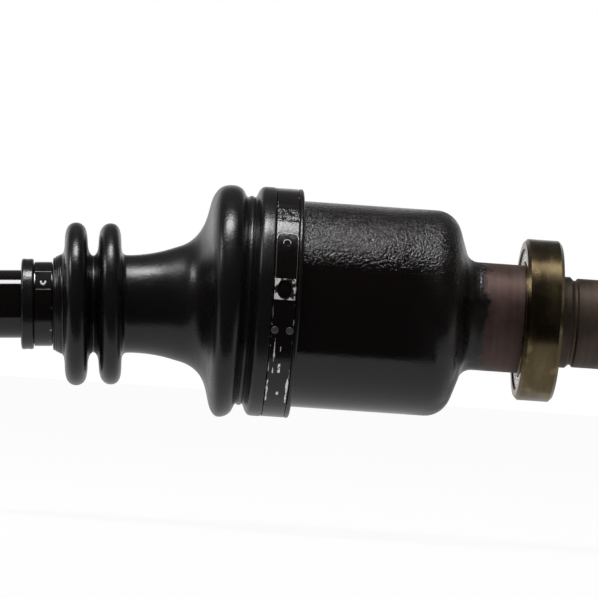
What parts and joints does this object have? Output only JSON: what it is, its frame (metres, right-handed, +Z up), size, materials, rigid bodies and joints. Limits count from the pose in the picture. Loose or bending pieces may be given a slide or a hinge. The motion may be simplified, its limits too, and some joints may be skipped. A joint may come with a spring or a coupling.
{
  "type": "driveshaft plunging joint with intermediate shaft",
  "caption": "Plunging tripod joint of a driveshaft: bar shaft, rubber boot on band clamps, roller tulip with a long intermediate shaft, support bearing and splined ends.",
  "frame": {"origin": "centre of the support bearing, on the intermediate shaft's axis", "axes": "+X along the intermediate shaft towards the gearbox, +Z up, bar shaft towards -X and drooping by the rest bend"},
  "size_m": [0.6125, 0.0888, 0.0888],
  "materials": {
    "forging_paint": "gloss black paint over a rough forging, bare oiled steel on the stem and shaft",
    "bar_paint": "smooth gloss black paint",
    "clamp_paint": "thin black coating worn bright at the edges",
    "bearing_steel": "oiled ground steel",
    "shield_steel": "bright pressed steel",
    "ball_steel": "polished",
    "cage_steel": "pressed",
    "spring_steel": "oiled",
    "hardened_steel": "ground",
    "cup_plastic": "moulded",
    "boot_rubber": "satin black"
  },
  "bodies": {
    "tulip": {"tulip_shaft": "forging_paint", "bearing_inner_ring": "bearing_steel", "gearbox_snap_ring": "spring_steel", "large_clamp": "clamp_paint", "thrust_spring": "spring_steel"},
    "bearing_outer": {"bearing_outer_ring": "bearing_steel", "bearing_shield_left": "shield_steel", "bearing_shield_right": "shield_steel"},
    "ball_set": {"bearing_balls": "ball_steel", "bearing_cage": "cage_steel"},
    "plunging_cup": {"thrust_cup": "cup_plastic"},
    "boot": {"boot": "boot_rubber"},
    "bar": {"bar_shaft": "bar_paint", "tripod_spider": "hardened_steel", "hub_clip": "spring_steel", "bar_snap_ring": "spring_steel", "small_clamp": "clamp_paint", "needle_set_1": "hardened_steel", "roller_washer_1": "hardened_steel", "roller_clip_1": "spring_steel", "needle_set_2": "hardened_steel", "roller_washer_2": "hardened_steel", "roller_clip_2": "spring_steel", "needle_set_3": "hardened_steel", "roller_washer_3": "hardened_steel", "roller_clip_3": "spring_steel"},
    "roller_1": {"tripod_roller_1": "hardened_steel"},
    "roller_2": {"tripod_roller_2": "hardened_steel"},
    "roller_3": {"tripod_roller_3": "hardened_steel"}
  },
  "joints": [
    {"name": "bearing_spin", "type": "hinge", "parent": "tulip", "child": "bearing_outer", "pos_m": [0, 0, 0], "axis": [1, 0, 0], "continuous": true},
    {"name": "ball_set_orbit", "type": "hinge", "parent": "tulip", "child": "ball_set", "pos_m": [0, 0, 0], "axis": [1, 0, 0], "continuous": true},
    {"name": "plunge", "type": "slide", "parent": "tulip", "child": "plunging_cup", "axis": [1, 0, 0], "range_m": [-0.002, 0.016], "deforming": ["thrust_spring", "boot"]},
    {"name": "bend_vertical", "type": "hinge", "parent": "plunging_cup", "child": "boot", "pos_m": [-0.0925, 0, 0], "axis": [0, 1, 0], "range_deg": [-8, 16]},
    {"name": "bend_sideways", "type": "hinge", "parent": "boot", "child": "bar", "pos_m": [-0.0925, 0, 0], "axis": [-0.0689, 0, 0.9976], "range_deg": [-12, 12]},
    {"name": "roller_spin_1", "type": "hinge", "parent": "bar", "child": "roller_1", "pos_m": [-0.09415, 0, 0.02394], "axis": [-0.0689, 0, 0.9976], "continuous": true},
    {"name": "roller_spin_2", "type": "hinge", "parent": "bar", "child": "roller_2", "pos_m": [-0.09167, -0.02079, -0.01197], "axis": [0.0344, -0.866, -0.4988], "continuous": true},
    {"name": "roller_spin_3", "type": "hinge", "parent": "bar", "child": "roller_3", "pos_m": [-0.09167, 0.02079, -0.01197], "axis": [0.0344, 0.866, -0.4988], "continuous": true}
  ],
  "couplings": [
    {"joint": "ball_set_orbit", "follows": "bearing_spin", "ratio": 0.58186}
  ]
}
